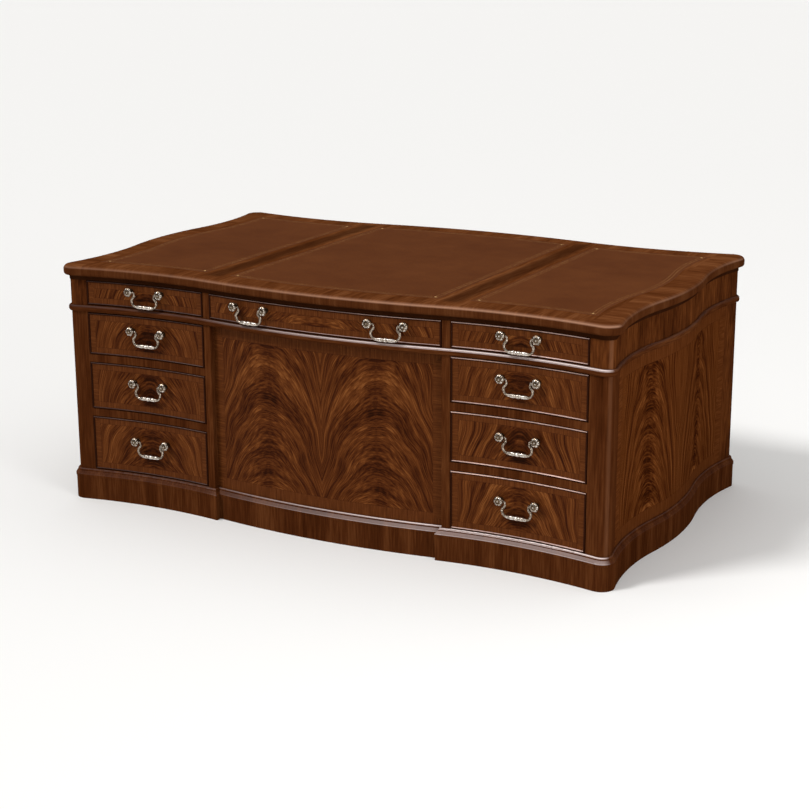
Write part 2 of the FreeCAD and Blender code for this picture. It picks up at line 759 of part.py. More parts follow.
def drawer(name, x, z, back_face, pulls):
    """A drawer in its opening: a serpentine front with a cock bead, a box of four boards, and its pulls.
    pulls gives each pull's name, place along the desk and height."""
    back = f"-({back_face} - front_thickness)"
    width = (f"{x[0]} + reveal", f"{x[1]} - reveal")
    height = (f"{z[0]} + reveal", f"{z[1]} - reveal")
    face = trimmed(f"{name}_face", carcass, width, (f"-({BEYOND})", back), height)
    bead_outside = trimmed(f"{name}_bead_outside", bead_block, width, (f"-({BEYOND})", back), height)
    inside = [(f"{low} + bead_width", f"{high} - bead_width") for low, high in (width, height)]
    square_bead = boolean("Cut", f"{name}_square_bead", bead_outside,
                          board(f"{name}_bead_inside", inside[0], (f"-({BEYOND})", BEYOND), inside[1]))
    front = boolean("Fuse", f"{name}_beaded", face, rounded_bead(f"{name}_bead", square_bead))
    hardware = []
    bails = {}
    for pull_name, place, level in pulls:
        items, holes, swing = pull(pull_name, place, value(level), value(back))
        hardware += items
        bails[pull_name] = swing
        for hole in holes:
            front = boolean("Cut", f"{hole.Name}_cut", front, hole)
    low, high = f"{z[0]} + slide_gap", f"{z[1]} - box_drop"
    depth = (back, f"{back} + box_depth")
    within = (f"{width[0]} + box_board", f"{width[1]} - box_board")
    boards = [
        board(f"{name}_side_one", (width[0], within[0]), depth, (low, high)),
        board(f"{name}_side_other", (within[1], width[1]), depth, (low, high)),
        board(f"{name}_back", within, (f"{depth[1]} - box_board", depth[1]), (low, high)),
        board(f"{name}_bottom", within, (depth[0], f"{depth[1]} - box_board"),
              (f"{low} + box_bottom_rise", f"{low} + box_bottom_rise + box_bottom")),
    ]
    return front, group(f"{name}_boards", boards), group(f"{name}_hardware", hardware), bails


# The top

part("desk_top", desk_top())
part("leather_centre", leather("leather_centre_skin", centre_leather))
right_leather = part("leather_right", leather("leather_right_skin", side_leather))
part("leather_left", mirrored("leather_left", right_leather))

# The frieze

divider = trimmed("right_divider", ring, (CENTRE_OPENING, OPENING_START), FRONT, FRIEZE_HEIGHT)
bottom_rail = trimmed("frieze_bottom_rail", ring, (f"-({OPENING_END})", OPENING_END), FRONT,
                      (PEDESTAL_TOP, FRIEZE_LOW))
dividers = [divider, mirrored("left_divider", divider)]
part("frieze_front_frame", group("frieze_front_frame", [*dividers, bottom_rail]))
frieze_end = trimmed("right_frieze_end", ring, CORNER, EVERYWHERE, (PEDESTAL_TOP, FRIEZE_TOP))
part("frieze_ends", group("frieze_ends", [frieze_end, mirrored("left_frieze_end", frieze_end)]))
part("frieze_back", trimmed("frieze_back", ring, (f"-({OPENING_END})", OPENING_END), BACK,
                            (PEDESTAL_TOP, FRIEZE_TOP)))
bearer = trimmed("right_bearer", core, (CENTRE_OPENING, OPENING_START), DRAWER_SPACE, FRIEZE_HEIGHT)
part("frieze_inner_boards", group("frieze_inner_boards", [
    trimmed("frieze_dust_board", core, EVERYWHERE, EVERYWHERE, (PEDESTAL_TOP, FRIEZE_LOW)),
    bearer,
    mirrored("left_bearer", bearer),
    trimmed("frieze_bulkhead", core, EVERYWHERE, BULKHEAD, FRIEZE_HEIGHT),
]))
part("waist_moulding", waist_moulding())

# The pedestals

both_sides("end_panel", trimmed("end_panel", ring, (OPENING_END, BEYOND),
                                (f"-{END_PANEL_HALF}", END_PANEL_HALF), PEDESTAL_HEIGHT))
both_sides("inner_side", trimmed("inner_side", core, ("knee_half", PANEL_INSIDE), EVERYWHERE,
                                 PEDESTAL_HEIGHT))
rails = {
    "foot_rail": ("foot_gap", "plinth_height"),
    "lower_rail": ("plinth_height + lower_opening", MIDDLE_LOW),
    "middle_rail": (f"{MIDDLE_LOW} + middle_opening", UPPER_LOW),
    "head_rail": (UPPER_HIGH, PEDESTAL_TOP),
}
both_sides("face_frame", group("face_frame", [
    trimmed("inner_stile", ring, STILE, FRONT, PEDESTAL_HEIGHT),
    trimmed("front_post", ring, CORNER, (f"-({BEYOND})", f"-{END_PANEL_HALF}"), PEDESTAL_HEIGHT),
    *(trimmed(name, ring, OPENING, FRONT, height) for name, height in rails.items()),
]))
both_sides("back", group("back_group", [
    trimmed("back_panel", ring, ("knee_half", OPENING_END), BACK, PEDESTAL_HEIGHT),
    trimmed("rear_post", ring, CORNER, (END_PANEL_HALF, BEYOND), PEDESTAL_HEIGHT),
]))
openings = {"lower": "plinth_height", "middle": MIDDLE_LOW, "upper": UPPER_LOW}
inner_boards = [
    trimmed("pedestal_bulkhead", core, (PANEL_INSIDE, BEYOND), BULKHEAD, PEDESTAL_HEIGHT),
]
for name, low in openings.items():
    guide = (low, f"{low} + guide_height")
    inner_boards += [
        trimmed(f"{name}_dust_board", core, (PANEL_INSIDE, BEYOND), DRAWER_SPACE,
                (f"{low} - dust_board", low)),
        trimmed(f"{name}_inner_guide", core, (PANEL_INSIDE, OPENING_START), DRAWER_SPACE, guide),
        trimmed(f"{name}_outer_guide", core, CORNER, DRAWER_SPACE, guide),
    ]
both_sides("inner_boards", group("pedestal_inner_boards", inner_boards))

# The plinth, and the knee panel and skirting that are scribed to it

mitred = boolean("Common", "mitred_skirting", skirting("pedestal_skirting", "0"), knee_return())
pedestal_foot = trimmed("pedestal_foot", carcass, ("knee_half", BEYOND), EVERYWHERE, ("0", "plinth_height"))
right_plinth = part("right_plinth", boolean("Cut", "right_plinth", mitred, pedestal_foot))
left_plinth = part("left_plinth", mirrored("left_plinth", right_plinth))
knee_width = ("-knee_half", "knee_half")
skirting_front = trimmed("knee_skirting_front", skirting("knee_skirting", "-knee_recess"), knee_width, FRONT,
                         ("0", "plinth_height"))
knee_skirting = boolean("Cut", "knee_skirting_length", skirting_front, knee_block)
knee_ring = boolean("Cut", "knee_ring", knee_block, knee_core)
knee_board = trimmed("knee_board", knee_ring, knee_width, FRONT, PEDESTAL_HEIGHT)
for name, length in (("centre_plinth", knee_skirting), ("knee_panel", knee_board)):
    right_end = boolean("Cut", f"{name}_right_end", length, right_plinth)
    part(name, boolean("Cut", name, right_end, left_plinth))

# The drawers

SIDE_PULL = f"({OPENING_START} + {OPENING_END}) / 2"
CENTRE_PULL = f"centre_pull_share * {CENTRE_OPENING}"
side_drawers = {
    "frieze_drawer": (FRIEZE_LOW, FRIEZE_TOP, "frieze_opening", "frieze_pull_rise"),
    "upper_drawer": (UPPER_LOW, UPPER_HIGH, "upper_opening", "pull_rise"),
    "middle_drawer": (MIDDLE_LOW, f"{MIDDLE_LOW} + middle_opening", "middle_opening", "pull_rise"),
    "lower_drawer": ("plinth_height", "plinth_height + lower_opening", "lower_opening", "pull_rise"),
}
for name, (low, high, opening, rise) in side_drawers.items():
    level = f"{low} + {opening} / 2 + {rise}"
    front, boards, hardware, bails = drawer(name, OPENING, (low, high), HOLLOW_FACE,
                                            [(name, value(SIDE_PULL), level)])
    both_sides(f"{name}_front", front)
    both_sides(f"{name}_box", boards)
    both_sides(f"{name}_pull_posts", hardware)
    both_sides(f"{name}_bail", bails[name])

level = f"{FRIEZE_LOW} + frieze_opening / 2 + frieze_pull_rise"
front, boards, hardware, bails = drawer(
    "centre_drawer", (f"-{CENTRE_OPENING}", CENTRE_OPENING), FRIEZE_HEIGHT, CENTRE_OPENING_FACE,
    [("centre_drawer_left", -value(CENTRE_PULL), level), ("centre_drawer_right", value(CENTRE_PULL), level)])
part("centre_drawer_front", front)
part("centre_drawer_box", boards)
part("centre_drawer_pull_posts", hardware)
for name, swing in bails.items():
    part(f"{name}_bail", swing)

doc.recompute()
failed = [obj.Name for obj in doc.Objects if {"Invalid", "Error"} & set(obj.State)]
failed += [name for name, obj in parts.items() if obj.Shape.isNull() or not obj.Shape.isValid()]
if failed:
    raise RuntimeError(f"these objects did not build: {failed}")

os.makedirs("parts", exist_ok=True)
for name, obj in parts.items():
    obj.Shape.exportStep(f"parts/{name}.step")
box = Part.makeCompound([obj.Shape for obj in parts.values()]).BoundBox
print(f"{len(parts)} pieces, {box.XLength:.1f} x {box.YLength:.1f} x {box.ZLength:.1f} mm")
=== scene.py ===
# %% [markdown]
# # A serpentine pedestal desk in flame mahogany
# The desk's solids come from CAD as one fixed frame, so every board, drawer and bail is already in its
# place and rides on the right body. This lesson dresses that frame. It sets up a photographer's studio,
# gives each surface the wood, leather or brass that the real desk has, and models the ornament that a
# joiner's drawing leaves out: the tooled leather, and the cast flowers and leaves of the pulls.

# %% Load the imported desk
import bpy
import json
import math
from mathutils import Matrix, Vector

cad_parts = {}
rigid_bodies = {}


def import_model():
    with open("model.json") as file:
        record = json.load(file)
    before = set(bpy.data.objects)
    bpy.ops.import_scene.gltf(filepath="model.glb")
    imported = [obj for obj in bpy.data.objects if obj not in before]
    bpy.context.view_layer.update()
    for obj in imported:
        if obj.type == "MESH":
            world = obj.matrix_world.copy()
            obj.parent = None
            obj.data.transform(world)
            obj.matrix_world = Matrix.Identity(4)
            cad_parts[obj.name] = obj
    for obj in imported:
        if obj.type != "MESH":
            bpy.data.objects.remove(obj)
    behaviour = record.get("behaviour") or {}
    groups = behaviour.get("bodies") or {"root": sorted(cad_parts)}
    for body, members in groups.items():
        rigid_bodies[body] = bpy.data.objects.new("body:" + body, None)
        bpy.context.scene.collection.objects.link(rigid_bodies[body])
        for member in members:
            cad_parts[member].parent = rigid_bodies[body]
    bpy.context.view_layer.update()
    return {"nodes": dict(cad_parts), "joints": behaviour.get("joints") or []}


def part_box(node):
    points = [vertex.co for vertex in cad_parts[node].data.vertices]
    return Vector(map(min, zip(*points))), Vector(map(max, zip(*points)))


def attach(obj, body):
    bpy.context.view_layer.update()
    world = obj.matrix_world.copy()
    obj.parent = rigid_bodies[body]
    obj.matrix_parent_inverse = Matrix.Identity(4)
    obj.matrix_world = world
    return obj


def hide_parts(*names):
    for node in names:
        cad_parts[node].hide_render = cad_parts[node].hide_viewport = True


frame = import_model()
nodes = frame["nodes"]

# %% [markdown]
# ## A function for colours and one for nodes
# Colours are written as they look on a screen. The renderer adds and multiplies light, so it needs linear
# numbers, and one function turns one into the other. A second function adds a shader node with its
# settings and its links, so that a material reads as a list of what is joined to what. A socket goes by
# its name, or by its number where a node repeats a name: Mix takes two colours at 6 and 7 and gives
# the result at 2, and Map Range takes a value at 0, its range at 1 and 2, and the results there at 3
# and 4.

# %% Colour and node helpers
def colour(code):
    """An sRGB hex code as a linear colour."""
    shares = [int(code[i:i + 2], 16) / 255 for i in (1, 3, 5)]
    return [s / 12.92 if s <= 0.04045 else ((s + 0.055) / 1.055) ** 2.4 for s in shares] + [1]


def add(owner, kind, links=None, ramp=(), **settings):
    """Adds a node to a material or world. links gives an input a value, a node, or a node and an output."""
    tree = owner.node_tree
    node = tree.nodes.new("ShaderNode" + kind)
    for name, setting in settings.items():
        setattr(node, name, setting)
    for socket, source in (links or {}).items():
        if isinstance(source, bpy.types.Node):
            source = (source, 0)
        if isinstance(source, tuple) and isinstance(source[0], bpy.types.Node):
            tree.links.new(source[0].outputs[source[1]], node.inputs[socket])
        else:
            node.inputs[socket].default_value = source
    for number, (place, code) in enumerate(ramp):
        stops = node.color_ramp.elements
        stop = stops[number] if number < len(stops) else stops.new(place)
        stop.position, stop.color = place, colour(code)
    return node


def empty(owner):
    """Gives a material or world an empty node tree."""
    owner.use_nodes = True
    owner.node_tree.nodes.clear()
    return owner


def dress(material, *names):
    """Gives a material to CAD nodes."""
    for name in names:
        nodes[name].data.materials.clear()
        nodes[name].data.materials.append(material)


print("helpers ready; a mid brown is", [round(share, 3) for share in colour("#5b3217")])

# %% [markdown]
# ## The studio
# Furniture is photographed on a pale sweep, with one large soft light high on the left in front of it and
# a weaker one on the right. A sun with a wide disc lights the whole floor evenly, so it plays the main
# light here: it leaves a soft shadow, and lies along every rounded moulding as a bright line. The room is
# bright overhead and dark at the horizon, as under a ceiling of white cloth. That keeps the waxed
# leather from turning grey, because at a low angle a waxed surface mirrors whatever is behind it.

# %% Floor, lamps and room
FLOOR_M = 160
LIT_POINT = Vector((0, 0, 0.4))
AT_HORIZON, OVERHEAD = 0.05, 0.95
SKY_LOW, SKY_HIGH = 0.3, 0.85
bpy.ops.object.select_all(action="DESELECT")
bpy.ops.mesh.primitive_plane_add(size=FLOOR_M)
floor = bpy.context.object
floor.name = "studio_floor"
sweep = empty(bpy.data.materials.new("pale_paper_sweep"))
paper = add(sweep, "BsdfPrincipled",
            {"Base Color": colour("#f2f1ef"), "Roughness": 0.9, "Specular IOR Level": 0.0})
add(sweep, "OutputMaterial", {"Surface": paper})
floor.data.materials.append(sweep)
lamps = [
    ("SUN", (-2.0, -2.5, 3.9), {"energy": 1.7, "angle": math.radians(14)}),
    ("AREA", (4.4, -2.4, 2.0), {"energy": 70, "shape": "RECTANGLE", "size": 1.6, "size_y": 1.6}),
]
for kind, place, settings in lamps:
    bpy.ops.object.light_add(type=kind, location=place)
    lamp = bpy.context.object
    for name, setting in settings.items():
        setattr(lamp.data, name, setting)
    lamp.rotation_euler = (LIT_POINT - lamp.location).to_track_quat("-Z", "Y").to_euler()
room = empty(bpy.data.worlds.new("cloth_ceiling_room"))
direction = add(room, "SeparateXYZ", {0: add(room, "TexCoord")})
glow = add(room, "MapRange", {0: (direction, "Z"), 1: SKY_LOW, 2: SKY_HIGH, 3: AT_HORIZON, 4: OVERHEAD})
sky = add(room, "Background", {"Color": (1, 1, 1, 1), "Strength": glow})
add(room, "OutputWorld", {"Surface": sky})
bpy.context.scene.world = room
bpy.context.scene.view_settings.view_transform = "Standard"
print("studio:", floor.name, "and", len(lamps), "lamps")

# %% [markdown]
# ## The camera
# The desk's own plan is symmetric and its edges are level, which is enough to work out where a photograph
# of it was taken from. The lens is a short telephoto, as is usual for furniture, so the far side hardly
# shrinks.

# %% Camera
CAMERA_PLACE = (2.6769, -5.0234, 1.8884)
LENS_MM, SENSOR_MM = 79.61, 36
TURN, TILT, ROLL = math.radians(28.132), math.radians(90 - 15.645), math.radians(-0.23)
bpy.ops.object.camera_add(location=CAMERA_PLACE)
camera = bpy.context.object
camera.data.lens = LENS_MM
camera.data.sensor_width = SENSOR_MM
turned = Matrix.Rotation(TURN, 3, "Z") @ Matrix.Rotation(TILT, 3, "X") @ Matrix.Rotation(ROLL, 3, "Z")
camera.rotation_euler = turned.to_euler()
bpy.context.scene.camera = camera
print("camera", CAMERA_PLACE, LENS_MM, "mm")

# %% [markdown]
# ## Straight-grained mahogany
# Posts, rails, mouldings and the plinth are cut so that the grain runs straight. On the plinth and rails
# it stands upright, across the length, which is called crossbanding. Wood pores are about a fifth of a
# millimetre wide, too fine to show at this distance, so the streaks here are drawn about 5 mm wide, as
# the eye groups them. A picture of wood could be wrapped round each piece, but a noise in the desk's own
# space has no edges to hide. One that is stretched along the grain gives the streaks, and a broader one
# the slow change from board to board. The lacquer is worn matt. On a moulding, a highlight is painted
# pale along the rounded edges where they face up and forward. It is hardly there on the left and
# strongest on the right. A painted highlight also runs as a soft line down each front right corner. The
# way that a surface faces says where these highlights are painted.

# %% Straight-grained mahogany
MAHOGANY = [(0.0, "#351707"), (0.5, "#48240f"), (1.0, "#5f361b")]
# How strong the painted highlight on a moulding is, by how far its surface turns up.
HIGHLIGHT_BY_TILT = [(0.15, "#000000"), (0.4, "#b8b8b8"), (0.57, "#6e6e6e"), (0.7, "#ffffff"), (0.95, "#c8c8c8"),
          (1.0, "#6c6c6c")]
STREAKS_PER_M, BOARDS_PER_M = 1 / 0.005, 1 / 0.045
# The sum of the two noises where the wood is palest and where it is deepest.
PALE, DEEP = 1.35, 0.65
# Along the desk, from 0.45 m left of the middle to 0.3 m right of it, the painted highlight grows from
# faint to full.
HIGHLIGHT_GROWS = {1: -0.45, 2: 0.3, 3: 0.06, 4: 1.2}
# The way that the painted highlight on a corner faces, and the cosine of the turn at which it ends.
CORNER_HIGHLIGHT_WAY, CORNER_HIGHLIGHT_END = (0.77, -0.64, 0), 0.94
MATT = {"Specular IOR Level": 0.0}
SATIN = {"Specular IOR Level": 0.02}


def straight_mahogany(name, stretch, lacquer, gloss, tones=MAHOGANY, painted_highlight=0.0, corner=0.0):
    """Mahogany with straight grain. stretch shrinks the pattern's coordinates along the grain, lacquer is
    how much the finish mirrors, gloss its lowest roughness, tones the colours of the wood,
    painted_highlight how strong the highlight painted on the upper side of a moulding is, and corner how
    strong the highlight painted down the front right corner is."""
    material = empty(bpy.data.materials.new(name))
    place = add(material, "TexCoord")
    stretched = add(material, "Mapping", {"Vector": (place, "Object"), "Scale": stretch})
    streaks = add(material, "TexNoise", {"Vector": stretched, "Scale": STREAKS_PER_M, "Detail": 4})
    boards = add(material, "TexNoise", {"Vector": stretched, "Scale": BOARDS_PER_M, "Detail": 2})
    both = add(material, "Math", {0: streaks, 1: boards}, operation="ADD")
    depth = add(material, "MapRange", {0: both, 1: DEEP, 2: PALE})
    wood = add(material, "ValToRGB", {0: depth}, ramp=tones)
    # Painted highlight: a soft pale line down each front right corner, where the surface faces one way.
    if corner:
        turned = add(material, "VectorMath", {0: (add(material, "NewGeometry"), "Normal"), 1: CORNER_HIGHLIGHT_WAY},
                     operation="DOT_PRODUCT")
        corner_highlight = add(material, "MapRange", {0: (turned, "Value"), 1: CORNER_HIGHLIGHT_END, 2: 1.0, 3: 0.0, 4: corner})
        lit = add(material, "Mix", {0: corner_highlight, 6: wood, 7: colour("#bd845f")}, data_type="RGBA")
        wood = (lit, 2)
    # Painted highlight: the upper, forward side of a moulding is painted pale, stronger towards the right.
    if painted_highlight:
        facing = add(material, "SeparateXYZ", {0: (add(material, "NewGeometry"), "Normal")})
        upturn_highlight = add(material, "ValToRGB", {0: (facing, "Z")}, ramp=HIGHLIGHT_BY_TILT)
        # A surface looks ahead by its Y, less half of what it turns to the side.
        sideways = add(material, "Math", {0: (facing, "X")}, operation="ABSOLUTE")
        ahead = add(material, "Math", {0: sideways, 1: 0.5, 2: (facing, "Y")}, operation="MULTIPLY_ADD")
        front_highlight = add(material, "MapRange", {0: ahead, 1: 0.0, 2: -0.5, 3: 0.02, 4: painted_highlight})
        along = add(material, "SeparateXYZ", {0: (place, "Object")})
        highlight_rightward = add(material, "MapRange", {0: (along, "X"), **HIGHLIGHT_GROWS})
        grain_and_highlight = add(material, "Math", {0: upturn_highlight, 1: front_highlight}, operation="MULTIPLY")
        grain_and_highlight = add(material, "Math", {0: grain_and_highlight, 1: highlight_rightward}, operation="MULTIPLY")
        # The pale colour of the painted highlight.
        wear_and_highlight = add(material, "Mix", {0: grain_and_highlight, 6: wood, 7: colour("#f8e6e2")}, data_type="RGBA")
        wood = (wear_and_highlight, 2)
    sheen = add(material, "MapRange", {0: streaks, 3: gloss, 4: gloss + 0.1})
    pores = add(material, "Bump", {"Height": streaks, "Strength": 0.03, "Distance": 0.0002})
    shader = add(material, "BsdfPrincipled",
                 {**lacquer, "Base Color": wood, "Roughness": sheen, "Normal": pores})
    add(material, "OutputMaterial", {"Surface": shader})
    return material


UPRIGHT, LENGTHWISE = (1, 1, 0.06), (0.08, 0.08, 1)
upright = straight_mahogany("mahogany_upright_grain", UPRIGHT, MATT, 0.36, corner=0.1)
dress(upright, "left_face_frame", "right_face_frame", "frieze_front_frame")
dress(upright, "left_inner_side", "right_inner_side")
moulded = straight_mahogany("mahogany_moulded_plinth", UPRIGHT, MATT, 0.26, painted_highlight=0.9)
dress(moulded, "left_plinth", "right_plinth", "centre_plinth")
run = straight_mahogany("mahogany_run_moulding", LENGTHWISE, MATT, 0.24, painted_highlight=0.8)
dress(run, "waist_moulding")
FIGURED = [(0.0, "#2f1406"), (0.45, "#4a250f"), (1.0, "#6c3c1b")]
ends = straight_mahogany("mahogany_figured_ends", (0.7, 0.7, 0.1), MATT, 0.4, FIGURED, corner=0.17)
dress(ends, "frieze_ends", "left_back", "right_back")
print("straight mahogany on the frames, plinth, mouldings, frieze ends and backs")

# %% [markdown]
# ## Flame figure
# The fronts and panels carry veneer cut from the fork of a tree, where the grain rises like flames. Two
# leaves are opened like a book, so the figure is the same on both sides of a seam. The streaks climb
# beside the seam and bend over at a dark spine, in nested arches. A picture of such veneer would have to
# be cut to fit every front, so the pattern is a noise read in bent coordinates: one is the height above
# an elliptical arch, so that a streak follows the arch, and the other runs slowly along it. A streak is
# about 6 mm wide on the crest of an arch, and a plume of streaks about 45 mm.

# %% Flame figure
FLAME = [(0.0, "#220c03"), (0.3, "#3c1a08"), (0.55, "#532a10"), (0.8, "#693a19"), (1.0, "#7f4c25")]
# Streaks about 6 mm wide, plumes about 45 mm and wandering over about 170 mm.
FLAMES_PER_M, PLUMES_PER_M, WANDERS_PER_M = 165, 22, 6
# In metres: how far the figure sways up and sideways, and how wide a spine's shadow is.
SWAY, SIDE_SWAY = 0.035, 0.014
SPINE_CORE, SPINE_EDGE = 0.004, 0.055
# An arch's foot stops just short of upright, and the noise changes slowly along a streak.
ARCH_FOOT, ALONG_STREAK = 0.985, 0.21
PLUME_SHARE, DARKEST, PALEST = 0.6, 0.53, 1.02


def flame_figure(material, side, up, arch, spine, seed, shade):
    """The figure's colour, its streaks and its slow wandering. side and up say how far a point lies beside
    and above the middle, and the other values are those of flame_mahogany."""
    leaf = add(material, "CombineXYZ", {0: side, 1: seed, 2: up})
    wander = add(material, "TexNoise", {"Vector": leaf, "Scale": WANDERS_PER_M, "Detail": 1})
    drift = add(material, "MapRange", {0: wander, 3: -SWAY, 4: SWAY})
    side_drift = add(material, "MapRange", {0: (wander, 1), 1: 0.3, 2: 0.7, 3: -SIDE_SWAY, 4: SIDE_SWAY})
    # How far a point lies from its spine, and how high above the arch through the middle.
    from_spine = add(material, "Math", {0: side, 1: spine}, operation="SUBTRACT")
    wavering = add(material, "Math", {0: from_spine, 1: side_drift}, operation="ADD")
    away = add(material, "Math", {0: wavering}, operation="ABSOLUTE")
    share = add(material, "MapRange", {0: away, 1: 0, 2: arch[0], 3: 0, 4: ARCH_FOOT})
    square = add(material, "Math", {0: share, 1: share}, operation="MULTIPLY")
    rest = add(material, "Math", {0: 1, 1: square}, operation="SUBTRACT")
    bow = add(material, "Math", {0: rest}, operation="SQRT")
    crown = add(material, "Math", {0: bow, 1: -arch[1], 2: up}, operation="MULTIPLY_ADD")
    height = add(material, "Math", {0: crown, 1: drift}, operation="ADD")
    slow = add(material, "Math", {0: away, 1: ALONG_STREAK}, operation="MULTIPLY")
    bent = add(material, "CombineXYZ", {0: height, 1: slow, 2: seed})
    streaks = add(material, "TexNoise",
                  {"Vector": bent, "Scale": FLAMES_PER_M, "Detail": 5, "Roughness": 0.6})
    plumes = add(material, "TexNoise",
                 {"Vector": bent, "Scale": PLUMES_PER_M, "Detail": 2, "Roughness": 0.5})
    figure = add(material, "Math", {0: plumes, 1: PLUME_SHARE, 2: streaks}, operation="MULTIPLY_ADD")
    shadow = add(material, "MapRange", {0: away, 1: SPINE_CORE, 2: SPINE_EDGE, 3: shade, 4: 0.0},
                 interpolation_type="SMOOTHSTEP")
    shadow = add(material, "Math", {0: shadow, 1: wander}, operation="MULTIPLY")
    figure = add(material, "Math", {0: figure, 1: shadow}, operation="SUBTRACT")
    depth = add(material, "MapRange", {0: figure, 1: DARKEST, 2: PALEST})
    return add(material, "ValToRGB", {0: depth}, ramp=FLAME), streaks, wander


print("flame figure ready, with streaks about", round(1000 / FLAMES_PER_M), "mm wide")

# %% [markdown]
# ## Crossbanding and cock bead
# Every field has a border of crossbanding, with its grain at right angles to the edge and a fine dark
# line inside it. Upright strips have level grain, and level strips have upright grain. The distance to
# the nearest edge says what lies at a point, so one rule serves for fields of every size. Round a drawer
# front runs a cock bead, the half-round strip that saves the veneer's edge. It is painted dark as shade,
# and a painted highlight lies on its upper side, stronger towards the right.

# %% Crossbanding and cock bead
BANDING = [(0.0, "#44210c"), (0.5, "#552c12"), (1.0, "#683a1b")]
# Short grain about 3.6 mm wide, as the eye groups it.
SHORT_PER_M = 280
SEAM_HALF, SEAM_DARK = 0.0007, 0.45
LEVEL = (0.06, 0.06, 1)
BEAD_HIGHLIGHT_GROWS = {1: -0.5, 2: 0.45, 3: 0.12, 4: 1.3}


def crossband(material, centred, side, up, half, width, flame):
    """Lays a border of a width round a flame field that reaches half its size each way from the middle.
    Returns the colour, and the gap to the nearest edge."""
    level = add(material, "Math", {0: up}, operation="ABSOLUTE")
    side_gap = add(material, "Math", {0: half[0], 1: side}, operation="SUBTRACT")
    end_gap = add(material, "Math", {0: half[1], 1: level}, operation="SUBTRACT")
    gap = add(material, "Math", {0: side_gap, 1: end_gap}, operation="MINIMUM")
    in_band = add(material, "Math", {0: gap, 1: width}, operation="LESS_THAN")
    in_strip = add(material, "Math", {0: side_gap, 1: end_gap}, operation="LESS_THAN")
    level_grain = add(material, "Mapping", {"Vector": centred, "Scale": LEVEL})
    upright_grain = add(material, "Mapping", {"Vector": centred, "Scale": UPRIGHT})
    grain = add(material, "Mix", {0: in_strip, 4: upright_grain, 5: level_grain}, data_type="VECTOR")
    short = add(material, "TexNoise", {"Vector": (grain, 1), "Scale": SHORT_PER_M, "Detail": 4})
    toned = add(material, "MapRange", {0: short, 1: 0.25, 2: 0.75})
    banding = add(material, "ValToRGB", {0: toned}, ramp=BANDING)
    veneer = add(material, "Mix", {0: in_band, 6: flame, 7: banding}, data_type="RGBA")
    seam = add(material, "Math", {0: gap, 1: width, 2: SEAM_HALF}, operation="COMPARE")
    seam = add(material, "Math", {0: seam, 1: SEAM_DARK}, operation="MULTIPLY")
    lined = add(material, "Mix", {0: seam, 6: (veneer, 2), 7: colour("#2a1208")}, data_type="RGBA")
    return (lined, 2), gap


def cock_bead(material, front, sheen, gap, width, wander):
    """Lays a cock bead of a width along the edge of a front, painted dark as shade with a painted highlight
    on its upper side. Returns the new colour and sheen.
    """
    facing = add(material, "SeparateXYZ", {0: (add(material, "NewGeometry"), "Normal")})
    where = add(material, "SeparateXYZ", {0: (add(material, "TexCoord"), "Object")})
    # Painted highlight on the bead's upper, forward side, stronger towards the right and in patches.
    upturn_highlight = add(material, "MapRange", {0: (facing, "Z"), 1: 0.12, 2: 0.7})
    front_highlight = add(material, "MapRange", {0: (facing, "Y"), 1: -0.05, 2: -0.35})
    upturn_highlight = add(material, "Math", {0: upturn_highlight, 1: front_highlight}, operation="MULTIPLY")
    highlight_rightward = add(material, "MapRange", {0: (where, "X"), **BEAD_HIGHLIGHT_GROWS})
    patchy_highlight = add(material, "Math", {0: upturn_highlight, 1: highlight_rightward}, operation="MULTIPLY")
    patchy_highlight = add(material, "Math", {0: patchy_highlight, 1: wander}, operation="MULTIPLY")
    # The bead is painted dark as shade, and pale where the painted highlight lies.
    wear_and_highlight = add(material, "Mix", {0: patchy_highlight, 6: colour("#2c1308"), 7: colour("#f4cdbf")},
                 data_type="RGBA")
    in_bead = add(material, "Math", {0: gap, 1: width}, operation="LESS_THAN")
    beaded = add(material, "Mix", {0: in_bead, 6: front, 7: (wear_and_highlight, 2)}, data_type="RGBA")
    return (beaded, 2), add(material, "Mix", {0: in_bead, 2: sheen, 3: 0.22}, data_type="FLOAT")


print("crossbanding ready, with grain about", round(1000 / SHORT_PER_M, 1), "mm wide")

# %% [markdown]
# ## Flame veneer on the fronts and panels
# A drawer front has one dark spine down its middle, and a panel has two, one on each side of its seam.
# Each front has its own place in the noise, so that no two are alike. The fronts and the knee panel still
# mirror a little, and the ends and back are matt.

# %% Flame veneer
def flame_mahogany(name, across, field, arch, band, spine=0.0, seed=0.0, bead=0.0, lacquer=SATIN,
                   shade=0.17):
    """Bookmatched flame veneer. across is the axis along the face, field its range along that axis and up,
    arch the half width and height of the arches, band the width of the border, spine how far each dark
    spine lies from the middle, seed the place in the noise, bead the width of the cock bead at the edge,
    lacquer how much the finish mirrors, and shade how dark the spines are."""
    material = empty(bpy.data.materials.new(name))
    middle = [sum(limits) / 2 for limits in field]
    half = [(limits[1] - limits[0]) / 2 for limits in field]
    shift = (-middle[0], 0, -middle[1]) if across == "X" else (0, -middle[0], -middle[1])
    centred = add(material, "Mapping", {"Vector": (add(material, "TexCoord"), "Object"), "Location": shift})
    place = add(material, "SeparateXYZ", {0: centred})
    up = (place, "Z")
    side = add(material, "Math", {0: (place, across)}, operation="ABSOLUTE")
    flame, streaks, wander = flame_figure(material, side, up, arch, spine, seed, shade)
    front, gap = crossband(material, centred, side, up, half, band + bead, flame)
    sheen = add(material, "MapRange", {0: streaks, 3: 0.36, 4: 0.48})
    if bead:
        front, sheen = cock_bead(material, front, sheen, gap, bead, wander)
    pores = add(material, "Bump", {"Height": streaks, "Strength": 0.03, "Distance": 0.0003})
    shader = add(material, "BsdfPrincipled",
                 {**lacquer, "Base Color": front, "Roughness": sheen, "Normal": pores})
    add(material, "OutputMaterial", {"Surface": shader})
    return material


def face_of(name):
    """The range along the drawer face, and the range up, that a node fills."""
    low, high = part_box(name)
    return [(low[i], high[i]) for i in (0, 2)]


